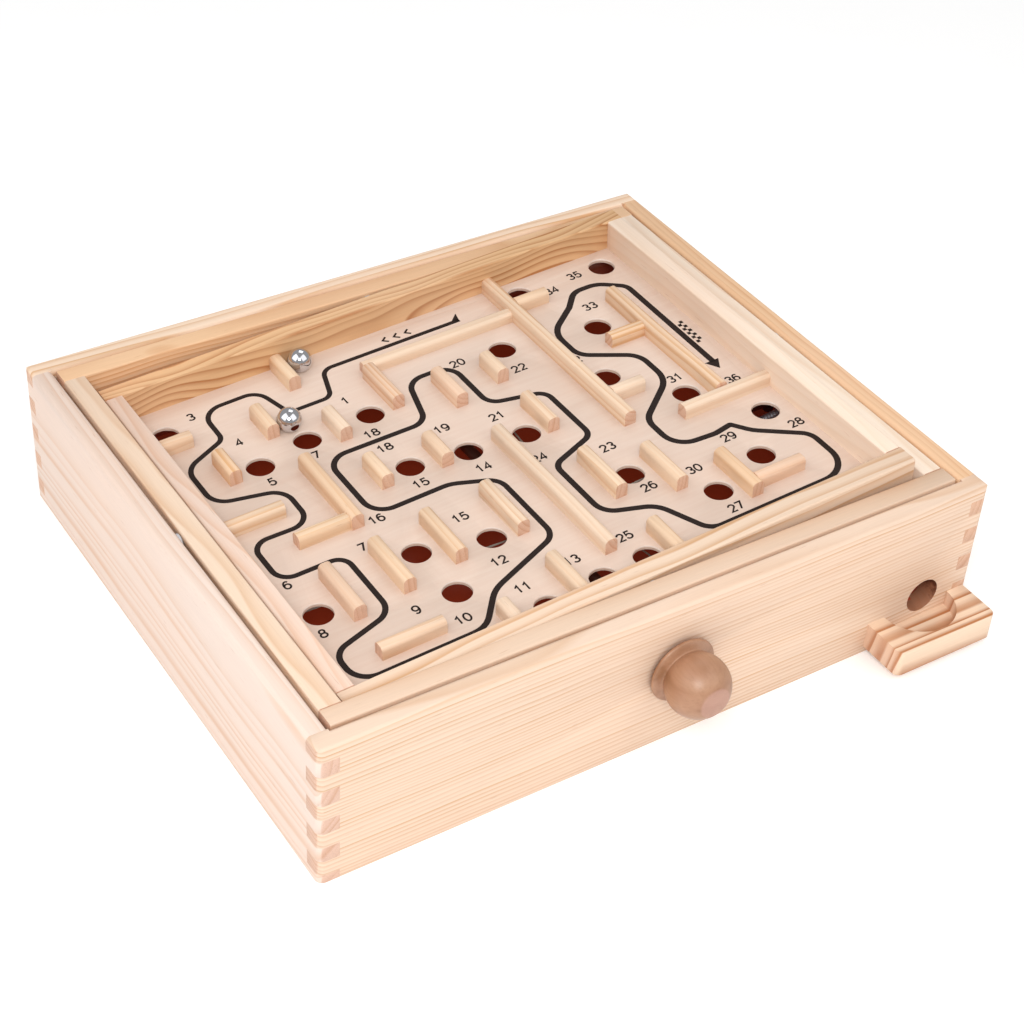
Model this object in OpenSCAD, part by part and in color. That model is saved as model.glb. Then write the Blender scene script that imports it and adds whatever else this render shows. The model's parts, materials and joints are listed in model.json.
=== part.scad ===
// Tabletop tilt maze: an open wooden box that carries two nested tilting frames.
// A cord wound on each knob's rod tilts one frame, and steel balls run on the maze floor.
// Front is -Y (front knob and ball catcher), right is +X (side knob), up is +Z.
// The origin is at the middle of the box's front lower edge, on the table.

/* [Display] */
// Sub-part to build, or all of them

/* [Box] */
// Outside length, left to right
box_l = 300; // [260:1:360]
// Outside depth, front to back
box_d = 252; // [220:1:320]
// Outside height
box_h = 66; // [60:1:90]
// Thickness of the walls
wall_t = 8.5; // [7:0.5:12]
// Height of one finger of the corner joints
finger_h = 7; // [5:0.5:11]
// Rounding of the upright corners
corner_r = 3; // [1:0.5:5]
// Rounding of the top edges
edge_r = 2; // [0.5:0.5:3]

/* [Ball ramp, exit and catcher] */
// Thickness of the sloping ramp board
ramp_t = 3; // [2:0.5:4]
// Depth of the wall grooves that hold the ramp board
ramp_groove = 2; // [1:0.5:4]
// Fall of the ramp towards the front wall, in degrees
ramp_fall_front = 1; // [0.5:0.1:1.5]
// Fall of the ramp towards the right wall, in degrees
ramp_fall_right = 0.3; // [0:0.1:0.5]
// Height of the ramp's surface at the exit hole
exit_z = 11; // [9:0.5:12]
// Exit hole, distance right of the middle
exit_x = 125; // [90:1:130]
// Diameter of the exit hole
exit_d = 15.6; // [13:0.2:18]
// Catcher block: length, depth and height
catcher_size = [50, 20.5, 12]; // [5:0.5:80]
// Catcher block's middle, distance right of the box's middle
catcher_x = 122.5; // [80:0.5:125]
// Height of the catcher above the table
catcher_z = 3; // [0:0.5:6]
// Radius of the catcher's half-round pocket
pocket_r = 16.5; // [12:0.5:18]
// Height of the pocket's floor above the table
pocket_z = 8; // [6:0.5:10]

/* [Tilting frames] */
// Height of the rails of both frames
rail_h = 18; // [16:0.5:20]
// Thickness of the outer frame's left and right rails
frame_side_t = 9; // [8:0.5:12]
// Thickness of the outer frame's front and back rails
frame_end_t = 8.5; // [8:0.5:12]
// Gap between the box and the outer frame: left and right, then front and back
frame_gap = [1.5, 1]; // [1:0.1:3]
// Thickness of the tray's left and right rails
tray_side_t = 7.5; // [7:0.5:10]
// Thickness of the tray's front rail
tray_front_t = 9.5; // [7.5:0.5:11]
// Thickness of the tray's back rail
tray_back_t = 8; // [7.5:0.5:11]
// Gap between the outer frame and the tray: left and right, then front and back
tray_gap = [4, 2]; // [1.4:0.1:5]
// Rounding of the rails' top edges
rail_r = 0.8; // [0.2:0.1:2]
// Depth of both pivot lines below the box's top
pivot_drop = 5; // [4:0.5:8]
// Diameter of the pivot pins
pivot_d = 3; // [2:0.1:4]
// Length of the part of a pivot pin that is fixed in the wood
pivot_fixed = 6; // [4:0.5:7]
// Diameter of the plastic washers on the pivot pins
washer_d = 7; // [5:0.5:10]
// Thickness of the plastic washers
washer_t = 1.2; // [0.5:0.1:1.3]
// Tilt of the tray at rest, right side up, in degrees
tray_tilt = 3.5; // [0:0.5:4]

/* [Maze] */
// Depth of the floor's top below the tray's rim
floor_drop = 14; // [12:0.5:16]
// Thickness of the plywood floor
floor_t = 2; // [2:0.5:4]
// Depth of the rail grooves that hold the floor
floor_groove = 3; // [2:0.5:5]
// Diameter of the holes in the floor
hole_d = 12; // [11:0.5:16]
// Width of the dividing strips
strip_w = 5.5; // [4:0.5:8]
// Height of the strips that run front to back
divider_h = 7; // [5:0.5:9]
// Height of the strips that run left to right
cross_h = 6; // [4:0.5:9]
// Height of the start lane's strip
start_strip_h = 5; // [4:0.5:9]
// Rounding of the strips' top edges
strip_r = 2; // [0.5:0.5:2]
// Diameter of the steel balls
ball_d = 10.5; // [8:0.5:11]

/* [Knobs, rods and cords] */
// Front rod: distance right of the middle, then height
front_rod_at = [2, 36]; // [-20:0.5:40]
// Side rod: distance behind the middle, then height
side_rod_at = [0, 28.5]; // [-20:0.5:40]
// Diameter of the steel rods
rod_d = 5; // [4:0.5:6]
// Depth of the rod's end in the far wall
rod_seat = 5; // [3:0.5:7]
// Depth of the rod in its knob
knob_socket = 14; // [8:0.5:18]
// Diameter of the knob's ball
knob_ball_d = 25.6; // [20:0.2:30]
// Diameter of the knob's collar
knob_collar_d = 28.4; // [20:0.2:34]
// Gap between the knob and the wall
knob_gap = 1.2; // [0.5:0.1:3]
// Diameter of the push-on clips inside the walls
clip_d = 9.6; // [8:0.2:12]
// Thickness of the push-on clips
clip_t = 0.8; // [0.5:0.1:1.5]
// Diameter of the cord
cord_d = 0.8; // [0.5:0.1:1.2]
// Turns of cord wound on each rod
cord_turns = 4; // [2:1:6]
// Distance of the tray's cord in front of the middle
tray_cord_y = 30; // [15:1:60]
// Distance of the outer frame's cord right of the middle
frame_cord_x = 30; // [15:1:60]
// Length of the cord springs
spring_l = 18; // [10:1:30]
// Diameter of the cord springs
spring_d = 3.6; // [2.5:0.1:5]
// Diameter of the wire of the cord eyes
eye_wire = 1.4; // [1:0.1:2]
// Depth of an eye's middle below its rail
eye_drop = 4; // [3:0.5:6]

/* [Hidden] */
$fn = 64;
// Radial clearance of a turning pin or rod in its hole
running = 0.05;
// Clearance past the end of a turning pin or rod in its blind hole
pin_end_gap = 0.5;
// Clearance left under and beside a loose ball
ball_gap = 0.1;
// Amount that a cutting tool stands proud of what it cuts
over = 1;

inner_x = box_l / 2 - wall_t;
inner_y = box_d / 2 - wall_t;
frame_x = inner_x - frame_gap[0];
frame_y = inner_y - frame_gap[1];
frame_in_x = frame_x - frame_side_t;
frame_in_y = frame_y - frame_end_t;
tray_x = frame_in_x - tray_gap[0];
tray_y = frame_in_y - tray_gap[1];
tray_in_x = tray_x - tray_side_t;
// Distances of the front and the back rail's inner faces from the tray's middle
tray_front_in = tray_y - tray_front_t;
tray_back_in = tray_y - tray_back_t;
rail_z = box_h - rail_h;
pivot_z = box_h - pivot_drop;
floor_z = box_h - floor_drop;
coil_r = (rod_d + cord_d) / 2;
// Middle radius of a cord eye's ring, which hangs clear of the rail
eye_gap = 0.4;
eye_r = eye_drop - eye_wire - eye_gap;
// Length of an eye's screw in the wood, and of its shank below the wood
eye_screw = 8;
eye_shank = eye_drop - eye_r + eye_wire / 4;
// Thickness and middle radius of the loop that ties a cord to its eye
loop_d = cord_d + 0.2;
loop_gap = 0.1;
loop_r = (eye_wire + loop_d) / 2 + loop_gap;
// Length of a spring's straight end
spring_end = 3;
// Top of the lowest finger of the side walls
first_finger_z = 4;
// The exit hole's lowest point lies just under the ramp's surface, so that no lip stops a ball
exit_sill = 0.2;
exit_hole_z = exit_z - exit_sill + exit_d / 2;
// Knob, along its axis from its flat back: start of the ball, edge and middle of the collar,
// waist, middle of the ball and flat nose
knob_ball_start = 0.5;
collar_edge_x = 0.8;
collar_x = 1.8;
waist_x = 5.2;
knob_ball_x = 10.5;
knob_l = 21.8;
// Diameters of the collar's back and of the waist
collar_back_d = knob_collar_d - 1.6;
waist_d = 21;

// Holes in the floor: [x, y] from the floor's middle
HOLES = [
    [-110, 81], [-86, 43], [-62, 48], [-32, 49], [-35, 11], [-10, 7],
    [38, 58], [16, 4], [66, 88], [82, 50], [109, 87], [65, 18],
    [87, -9], [108, -36], [89, -58], [61, -67], [37, -40], [15, -84],
    [-6, -85], [-32, -87], [-30, -43], [-57, -62], [-59, -35], [-107, -45]
];

// Strips glued on the floor, placed from the floor's middle.
// Those that run front to back: [x of the middle line, y of the front end, length]
SHORT_DIVIDERS = [
    [-73, 56, 16.5], [-99, 38, 16.5], [-48.5, 39, 16.5], [-22, 3, 16.5],
    [-49, 4, 16.5], [26, 38, 15], [-48.5, -tray_front_in, 16.5]
];
MIDDLE_DIVIDERS = [[-50.5, 80, 18], [3, 33, 21.5], [26, -1, 21.5]];
MEDIUM_DIVIDERS = [
    [-20, 46, 26], [26, -50, 28], [49, -59, 26], [72, -78, 26], [25, -tray_front_in, 24.5],
    [-19, -94, 26], [-18.5, -48, 29], [-47, -49, 28], [-72, -53, 28], [-95, -56, 28]
];
left_divider = [-71, -11, 44.5];
centre_divider = [4, -75, 83];
// From its front end to the tray's back rail
back_divider = [55, -14, tray_back_in + 14];
half_w = strip_w / 2;
finish_stop_y = -21;
// From the back of the finish lane's stop
finish_divider = [98, finish_stop_y + half_w, 82];

// Those that run left to right: [x of the left end, y of the middle line, length]
SHORT_CROSS = [
    [back_divider[0] + half_w, 79, 16], [finish_divider[0] - half_w - 17, 36, 17],
    [back_divider[0] + half_w, 4, 15.5], [-tray_in_x, 71, 16.5]
];
MEDIUM_CROSS = [
    [left_divider[0] - half_w - 22.5, -7.5, 22.5], [MEDIUM_DIVIDERS[3][0] + half_w, -72.5, 23],
    [-99, -76.5, 27.5]
];
rail_strip = [-tray_in_x, 12.5, 28];
// The start lane's strip ends at the back divider; the finish lane's stop ends at the right rail
start_strip = [-21, 75, back_divider[0] - half_w + 21];
finish_stop = [76, finish_stop_y, tray_in_x - 76];

// Places of the two balls along the dividers that they rest against
ball_1_y = 91;
ball_2_y = 57.5;

// ---------- general shapes ----------

// Bar along X, centred on X and Y, standing on z = 0, with both long top edges rounded
module rounded_bar(size, r) {
    union() {
        translate([-size[0] / 2, -size[1] / 2, 0])
            cube([size[0], size[1], size[2] - r]);
        translate([-size[0] / 2, -size[1] / 2 + r, 0])
            cube([size[0], size[1] - 2 * r, size[2]]);
        for (side = [-1, 1])
            translate([-size[0] / 2, side * (size[1] / 2 - r), size[2] - r])
                rotate([0, 90, 0])
                    cylinder(r = r, h = size[0]);
    }
}

// Cylinder along +X or +Y from its start
module rod_x(d, l) {
    rotate([0, 90, 0]) cylinder(d = d, h = l);
}

module rod_y(d, l) {
    rotate([-90, 0, 0]) cylinder(d = d, h = l);
}

// The same thing twice, half a turn apart about the box's middle
module both_ends() {
    for (turn = [0, 180]) rotate([0, 0, turn]) children();
}

// Every part is drawn about the box's middle, then set back so that the origin is at the
// middle of the front lower edge
module placed() {
    translate([0, box_d / 2, 0]) children();
}

// ---------- box ----------

// Outside of the whole box, with its rounded corners and top edges
module box_outside() {
    intersection() {
        union() {
            translate([-box_l / 2 + corner_r, -box_d / 2, 0])
                cube([box_l - 2 * corner_r, box_d, box_h]);
            translate([-box_l / 2, -box_d / 2 + corner_r, 0])
                cube([box_l, box_d - 2 * corner_r, box_h]);
            for (x = [-1, 1], y = [-1, 1])
                translate([x * (box_l / 2 - corner_r), y * (box_d / 2 - corner_r), 0])
                    cylinder(r = corner_r, h = box_h);
        }
        rounded_bar([box_l, box_d, box_h], edge_r);
        rotate([0, 0, 90]) rounded_bar([box_d, box_l, box_h], edge_r);
    }
}

// Tool that rounds the inner top edge of a wall: runs along X, wood on its -Y side
module inner_edge_tool(l) {
    translate([-l / 2, -edge_r, box_h - edge_r])
        difference() {
            cube([l, edge_r + over, edge_r + over]);
            translate([-over, 0, 0]) rod_x(2 * edge_r, l + 2 * over);
        }
}

// Corner blocks that the side walls fill: the fingers seen as end grain from the front
module side_fingers() {
    for (x = [-1, 1], y = [-1, 1], z = [first_finger_z : 2 * finger_h : box_h])
        translate([x * (box_l - wall_t) / 2 - wall_t / 2, y * (box_d - wall_t) / 2 - wall_t / 2,
                   z - finger_h])
            cube([wall_t, wall_t, finger_h]);
}

// Front and back wall blanks: full length, less the side walls' fingers
module end_wall_blank() {
    difference() {
        intersection() {
            box_outside();
            translate([-box_l / 2, -box_d / 2, 0]) cube([box_l, wall_t, box_h]);
        }
        side_fingers();
        translate([0, -inner_y, 0]) inner_edge_tool(2 * inner_x);
    }
}

// Left wall blank: between the end walls, plus its fingers
module side_wall_blank() {
    difference() {
        intersection() {
            box_outside();
            union() {
                translate([-box_l / 2, -inner_y, 0]) cube([wall_t, 2 * inner_y, box_h]);
                intersection() {
                    side_fingers();
                    translate([-box_l / 2, -box_d / 2, 0]) cube([wall_t, box_d, box_h]);
                }
            }
        }
        rotate([0, 0, -90]) translate([0, -inner_x, 0]) inner_edge_tool(2 * inner_y);
    }
}

// Ramp board, held in grooves on all four sides; it falls to the front right corner
module ramp_board() {
    middle_z = exit_z + exit_x * tan(ramp_fall_right)
        + inner_y * tan(ramp_fall_front) / cos(ramp_fall_right);
    l = 2 * (inner_x + ramp_groove);
    d = 2 * (inner_y + ramp_groove);
    translate([0, 0, middle_z])
        rotate([ramp_fall_front, ramp_fall_right, 0])
            translate([-l / 2, -d / 2, -ramp_t])
                cube([l, d, ramp_t]);
}

module front_wall() {
    color("BurlyWood") placed()
        difference() {
            end_wall_blank();
            ramp_board();
            translate([exit_x, -box_d / 2 - over, exit_hole_z]) rod_y(exit_d, wall_t + 2 * over);
            translate([front_rod_at[0], -box_d / 2 - over, front_rod_at[1]])
                rod_y(rod_d + 2 * running, wall_t + 2 * over);
        }
}

module back_wall() {
    color("BurlyWood") placed()
        difference() {
            rotate([0, 0, 180]) end_wall_blank();
            ramp_board();
            translate([front_rod_at[0], inner_y - over, front_rod_at[1]])
                rod_y(rod_d + 2 * running, rod_seat + over);
        }
}

// Blind hole in a side wall's inner face for a pivot pin, on the left wall
module wall_pivot_hole() {
    translate([-inner_x - pivot_fixed, 0, pivot_z]) rod_x(pivot_d, pivot_fixed + over);
}

module left_wall() {
    color("BurlyWood") placed()
        difference() {
            side_wall_blank();
            ramp_board();
            wall_pivot_hole();
            translate([-inner_x - rod_seat, side_rod_at[0], side_rod_at[1]])
                rod_x(rod_d + 2 * running, rod_seat + over);
        }
}

module right_wall() {
    color("BurlyWood") placed()
        difference() {
            rotate([0, 0, 180]) side_wall_blank();
            ramp_board();
            rotate([0, 0, 180]) wall_pivot_hole();
            translate([inner_x - over, side_rod_at[0], side_rod_at[1]])
                rod_x(rod_d + 2 * running, wall_t + 2 * over);
        }
}

module ball_ramp() {
    color("SaddleBrown") placed() ramp_board();
}

// Block under the exit hole, with a half-round pocket open to the wall
module ball_catcher() {
    l = catcher_size[0];
    d = catcher_size[1];
    r = corner_r;
    color("SandyBrown") placed()
        translate([catcher_x, -box_d / 2, 0])
            difference() {
                translate([0, 0, catcher_z])
                    union() {
                        translate([-l / 2, -d + r, 0]) cube([l, d - r, catcher_size[2]]);
                        translate([-l / 2 + r, -d, 0]) cube([l - 2 * r, d, catcher_size[2]]);
                        for (x = [-1, 1])
                            translate([x * (l / 2 - r), -d + r, 0])
                                cylinder(r = r, h = catcher_size[2]);
                    }
                translate([0, 0, pocket_z]) cylinder(r = pocket_r, h = box_h);
            }
}

// Pin on the left, from inside the wall to inside the outer frame's rail
module box_pivot_pins() {
    color("Silver") placed()
        both_ends()
            translate([-inner_x - pivot_fixed, 0, pivot_z])
                rod_x(pivot_d, 2 * pivot_fixed + frame_gap[0]);
}

module washer(x) {
    translate([x, 0, pivot_z])
        difference() {
            rod_x(washer_d, washer_t);
            translate([-over, 0, 0]) rod_x(pivot_d, washer_t + 2 * over);
        }
}

module box_pivot_washers() {
    color("White") placed() both_ends() washer(-inner_x);
}

// ---------- outer frame ----------

module outer_frame_front() {
    color("Wheat") placed()
        difference() {
            translate([0, -frame_y + frame_end_t / 2, rail_z])
                rounded_bar([2 * frame_x, frame_end_t, rail_h], rail_r);
            translate([0, -frame_in_y - pivot_fixed, pivot_z]) rod_y(pivot_d, pivot_fixed + over);
            translate([frame_cord_x, -frame_y + frame_end_t / 2, rail_z]) eye_hole();
        }
}

module outer_frame_back() {
    color("Wheat") placed()
        difference() {
            translate([0, frame_y - frame_end_t / 2, rail_z])
                rounded_bar([2 * frame_x, frame_end_t, rail_h], rail_r);
            translate([0, frame_in_y - over, pivot_z]) rod_y(pivot_d, pivot_fixed + over);
            translate([frame_cord_x, frame_y - frame_end_t / 2, rail_z]) eye_hole();
        }
}

// Left rail of the outer frame, with the hole for its pivot pin
module frame_side_rail() {
    difference() {
        translate([-frame_x + frame_side_t / 2, 0, rail_z])
            rotate([0, 0, 90])
                rounded_bar([2 * frame_in_y, frame_side_t, rail_h], rail_r);
        translate([-frame_x - over, 0, pivot_z])
            rod_x(pivot_d + 2 * running, pivot_fixed + pin_end_gap + over);
    }
}

module outer_frame_left() {
    color("Wheat") placed() frame_side_rail();
}

module outer_frame_right() {
    color("Wheat") placed() rotate([0, 0, 180]) frame_side_rail();
}

// Pin at the front, from inside the outer frame's rail to inside the tray's rail
module frame_pivot_pins() {
    color("Silver") placed()
        both_ends()
            translate([0, -frame_in_y - pivot_fixed, pivot_z])
                rod_y(pivot_d, 2 * pivot_fixed + tray_gap[1]);
}

module frame_pivot_washers() {
    color("White") placed()
        both_ends()
            rotate([0, 0, 90]) washer(-frame_in_y);
}

// Ring of round wire about the X axis
module wire_ring(r, d) {
    rotate([0, 90, 0]) rotate_extrude() translate([r, 0]) circle(d = d);
}

// Screw eye that hangs from a rail's underside, its ring square to the X axis
module cord_eye() {
    translate([0, 0, -eye_drop]) wire_ring(eye_r, eye_wire);
    translate([0, 0, -eye_shank]) cylinder(d = eye_wire, h = eye_screw + eye_shank);
}

module eye_hole() {
    translate([0, 0, -over]) cylinder(d = eye_wire, h = eye_screw + over);
}

module outer_frame_cord_eyes() {
    color("Silver") placed()
        for (side = [-1, 1])
            translate([frame_cord_x, side * (frame_y - frame_end_t / 2), rail_z])
                rotate([0, 0, 90]) cord_eye();
}

// ---------- maze tray ----------

// Tilts the tray's parts from level to their rest position
module tray_pose() {
    placed()
        translate([0, 0, pivot_z])
            rotate([0, -tray_tilt, 0])
                translate([0, 0, -pivot_z])
                    children();
}

module floor_plate() {
    l = 2 * (tray_in_x + floor_groove);
    d = tray_front_in + tray_back_in + 2 * floor_groove;
    translate([-l / 2, -tray_front_in - floor_groove, floor_z - floor_t]) cube([l, d, floor_t]);
}

// Front rail of thickness t, over the full width, with the hole for its pivot pin
module tray_end_rail(t) {
    difference() {
        translate([0, -tray_y + t / 2, rail_z]) rounded_bar([2 * tray_x, t, rail_h], rail_r);
        translate([0, -tray_y - over, pivot_z])
            rod_y(pivot_d + 2 * running, pivot_fixed + pin_end_gap + over);
    }
}

// Right rail, between the end rails
module tray_side_rail() {
    l = tray_front_in + tray_back_in;
    difference() {
        translate([tray_x - tray_side_t / 2, (tray_back_in - tray_front_in) / 2, rail_z])
            rotate([0, 0, 90]) rounded_bar([l, tray_side_t, rail_h], rail_r);
        floor_plate();
        translate([tray_x - tray_side_t / 2, -tray_cord_y, rail_z]) eye_hole();
    }
}

module tray_front_rail() {
    color("Wheat")
        tray_pose()
            difference() {
                tray_end_rail(tray_front_t);
                floor_plate();
            }
}

module tray_back_rail() {
    color("Wheat")
        tray_pose()
            difference() {
                rotate([0, 0, 180]) tray_end_rail(tray_back_t);
                floor_plate();
            }
}

module tray_left_rail() {
    color("Wheat") tray_pose() mirror([1, 0, 0]) tray_side_rail();
}

module tray_right_rail() {
    color("Wheat") tray_pose() tray_side_rail();
}

module tray_floor() {
    color("BlanchedAlmond")
        tray_pose()
            difference() {
                floor_plate();
                for (p = HOLES)
                    translate([p[0], p[1], floor_z - floor_t - over])
                        cylinder(d = hole_d, h = floor_t + 2 * over);
            }
}

// Strip along X, glued on the floor: [x of its left end, y, length] and height
module cross_strip(at, h = cross_h) {
    color("NavajoWhite")
        tray_pose()
            translate([at[0] + at[2] / 2, at[1], floor_z])
                rounded_bar([at[2], strip_w, h], strip_r);
}

// Strip along Y, glued on the floor: [x, y of its front end, length]
module divider(at) {
    color("NavajoWhite")
        tray_pose()
            translate([at[0], at[1] + at[2] / 2, floor_z])
                rotate([0, 0, 90]) rounded_bar([at[2], strip_w, divider_h], strip_r);
}

module short_dividers() {
    for (at = SHORT_DIVIDERS) divider(at);
}

module middle_dividers() {
    for (at = MIDDLE_DIVIDERS) divider(at);
}

module medium_dividers() {
    for (at = MEDIUM_DIVIDERS) divider(at);
}

module short_cross_strips() {
    for (at = SHORT_CROSS) cross_strip(at);
}

module medium_cross_strips() {
    for (at = MEDIUM_CROSS) cross_strip(at);
}

module left_rail_strip() {
    cross_strip(rail_strip);
}

module long_divider_left() {
    divider(left_divider);
}

module long_divider_centre() {
    divider(centre_divider);
}

module long_divider_back() {
    divider(back_divider);
}

module finish_lane_divider() {
    divider(finish_divider);
}

module start_lane_strip() {
    cross_strip(start_strip, start_strip_h);
}

module finish_lane_stop() {
    cross_strip(finish_stop);
}

// The pair of eyes that the tray's cord is tied to, left and right
module tray_cord_eyes() {
    color("Silver")
        tray_pose()
            for (side = [-1, 1])
                translate([side * (tray_x - tray_side_t / 2), -tray_cord_y, rail_z])
                    cord_eye();
}

// Ball on the floor against the right side of a divider
module ball(divider_x, y) {
    color("LightSteelBlue")
        tray_pose()
            translate([divider_x + half_w + ball_d / 2 + ball_gap, y,
                       floor_z + ball_d / 2 + ball_gap])
                sphere(d = ball_d);
}

module ball_1() {
    ball(MIDDLE_DIVIDERS[0][0], ball_1_y);
}

module ball_2() {
    ball(SHORT_DIVIDERS[0][0], ball_2_y);
}

// ---------- knobs, rods and cords ----------

// Turned knob along +X from its flat back: flared collar, waist and ball with a flat nose
module knob_body() {
    r = knob_ball_d / 2;
    difference() {
        union() {
            intersection() {
                translate([knob_ball_x, 0, 0]) sphere(r = r);
                translate([knob_ball_start, -r, -r]) cube([knob_l - knob_ball_start, 2 * r, 2 * r]);
            }
            rod_x(collar_back_d, collar_edge_x);
            translate([collar_edge_x, 0, 0]) rod_x(knob_collar_d, collar_x - collar_edge_x);
            translate([collar_x, 0, 0])
                rotate([0, 90, 0])
                    cylinder(d1 = knob_collar_d, d2 = waist_d, h = waist_x - collar_x);
        }
        translate([-over, 0, 0]) rod_x(rod_d, knob_socket + over);
    }
}

module front_knob() {
    color("Tan") placed()
        translate([front_rod_at[0], -box_d / 2 - knob_gap, front_rod_at[1]])
            rotate([0, 0, -90]) knob_body();
}

module side_knob() {
    color("Tan") placed()
        translate([box_l / 2 + knob_gap, side_rod_at[0], side_rod_at[1]]) knob_body();
}

module front_rod() {
    start = box_d / 2 + knob_gap + knob_socket;
    color("Silver") placed()
        translate([front_rod_at[0], -start, front_rod_at[1]])
            rod_y(rod_d, start + inner_y + rod_seat - pin_end_gap);
}

module side_rod() {
    start = inner_x + rod_seat - pin_end_gap;
    color("Silver") placed()
        translate([-start, side_rod_at[0], side_rod_at[1]])
            rod_x(rod_d, start + box_l / 2 + knob_gap + knob_socket);
}

// Push-on clip, along +X
module clip() {
    difference() {
        rod_x(clip_d, clip_t);
        translate([-over, 0, 0]) rod_x(rod_d, clip_t + 2 * over);
    }
}

module front_rod_clip() {
    color("DimGray") placed()
        translate([front_rod_at[0], -inner_y + 0.2, front_rod_at[1]])
            rotate([0, 0, 90]) clip();
}

module side_rod_clip() {
    color("DimGray") placed()
        translate([inner_x - 0.2 - clip_t, side_rod_at[0], side_rod_at[1]]) clip();
}

// Turns of cord side by side on a rod along X, centred on the origin
module coil() {
    l = cord_turns * cord_d;
    rotate([0, 90, 0])
        rotate_extrude()
            union() {
                translate([rod_d / 2, -l / 2 + cord_d / 4])
                    square([cord_d / 2, l - cord_d / 2]);
                for (turn = [0 : cord_turns - 1])
                    translate([coil_r, -l / 2 + cord_d * (turn + 0.5)])
                        intersection() {
                            circle(d = cord_d);
                            translate([-cord_d / 2, -cord_d / 2]) square(cord_d);
                        }
            }
}

module tray_cord_coil() {
    color("Ivory") placed()
        translate([front_rod_at[0], -tray_cord_y, front_rod_at[1]])
            rotate([0, 0, 90]) coil();
}

module outer_frame_cord_coil() {
    color("Ivory") placed()
        translate([frame_cord_x, side_rod_at[0], side_rod_at[1]]) coil();
}

// Where a tray point stands once the tray is tilted
function tilted(p) = [
    p[0] * cos(tray_tilt) - (p[2] - pivot_z) * sin(tray_tilt),
    p[1],
    pivot_z + p[0] * sin(tray_tilt) + (p[2] - pivot_z) * cos(tray_tilt)
];

// Turns and shifts its children, drawn along +Z, to lie from one point towards another
module along(a, b) {
    v = b - a;
    translate(a)
        rotate([0, acos(v[2] / norm(v)), atan2(v[1], v[0])])
            children();
}

// Point on the way from a to b, at a distance short of b
function short_of(a, b, gap) = b - (b - a) * gap / norm(b - a);

// Straight round wire from a to b
module wire(a, b) {
    along(a, b) cylinder(d = cord_d, h = norm(b - a));
}

// Closed-wound spring on the last stretch before b, with a straight end that hooks onto b
module spring(a, b) {
    l = norm(b - a);
    body_l = spring_l - spring_end;
    ribs = 10;
    union() {
        wire(short_of(a, b, spring_end + cord_d), short_of(a, b, loop_r));
        along(a, b)
            translate([0, 0, l - spring_l]) {
                cylinder(d = spring_d - 1, h = body_l);
                for (rib = [0 : ribs - 1])
                    translate([0, 0, (rib + 0.25) * body_l / ribs])
                        cylinder(d = spring_d, h = body_l / ribs / 2);
            }
    }
}

// Where each cord is tied: on the lowest wire of its eye's ring
function tray_tie(side) = tilted([side * (tray_x - tray_side_t / 2), -tray_cord_y,
                                  rail_z - eye_drop - eye_r]);
function frame_tie(side) = [frame_cord_x, side * (frame_y - frame_end_t / 2),
                            rail_z - eye_drop - eye_r];

// Where each cord leaves the underside of its coil
tray_leave = [front_rod_at[0], -tray_cord_y, front_rod_at[1] - coil_r - cord_d];
frame_leave = [frame_cord_x, side_rod_at[0], side_rod_at[1] - coil_r - cord_d];

// Loops round the wire of an eye, for a cord along X and for a cord along Y
module tray_loop(side) {
    translate(tray_tie(side)) rotate([0, 0, 90]) wire_ring(loop_r, loop_d);
}

module frame_loop(side) {
    translate(frame_tie(side)) wire_ring(loop_r, loop_d);
}

module tray_cord() {
    color("Ivory") placed() {
        union() {
            wire(tray_leave - [1, 0, 0], short_of(tray_leave, tray_tie(-1), loop_r));
            tray_loop(-1);
        }
        wire(tray_leave + [1, 0, 0], short_of(tray_leave, tray_tie(1), spring_l));
    }
}

module tray_cord_spring() {
    color("Silver") placed()
        union() {
            spring(tray_leave, tray_tie(1));
            tray_loop(1);
        }
}

module outer_frame_cord() {
    color("Ivory") placed() {
        union() {
            wire(frame_leave - [0, 1, 0], short_of(frame_leave, frame_tie(-1), loop_r));
            frame_loop(-1);
        }
        wire(frame_leave + [0, 1, 0], short_of(frame_leave, frame_tie(1), spring_l));
    }
}

module outer_frame_cord_spring() {
    color("Silver") placed()
        union() {
            spring(frame_leave, frame_tie(1));
            frame_loop(1);
        }
}

// ---------- drawing ----------

front_wall();
back_wall();
left_wall();
right_wall();
ball_ramp();
ball_catcher();
box_pivot_pins();
box_pivot_washers();
outer_frame_front();
outer_frame_back();
outer_frame_left();
outer_frame_right();
frame_pivot_pins();
frame_pivot_washers();
outer_frame_cord_eyes();
tray_front_rail();
tray_back_rail();
tray_left_rail();
tray_right_rail();
tray_floor();
short_dividers();
middle_dividers();
medium_dividers();
short_cross_strips();
medium_cross_strips();
left_rail_strip();
long_divider_left();
long_divider_centre();
long_divider_back();
finish_lane_divider();
start_lane_strip();
finish_lane_stop();
tray_cord_eyes();
ball_1();
ball_2();
front_knob();
front_rod();
front_rod_clip();
tray_cord_coil();
tray_cord();
tray_cord_spring();
side_knob();
side_rod();
side_rod_clip();
outer_frame_cord_coil();
outer_frame_cord();
outer_frame_cord_spring();
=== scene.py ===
"""Looks of the tabletop tilt maze: sanded pine, plywood, hardboard, beech, steel and cord.

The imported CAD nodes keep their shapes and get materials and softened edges. The new pieces are the
printed path, the hole numbers, the start and finish marks, the turned knobs and the polished balls.
"""
import json
import math

import bmesh
import bpy
from mathutils import Matrix, Vector


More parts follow.
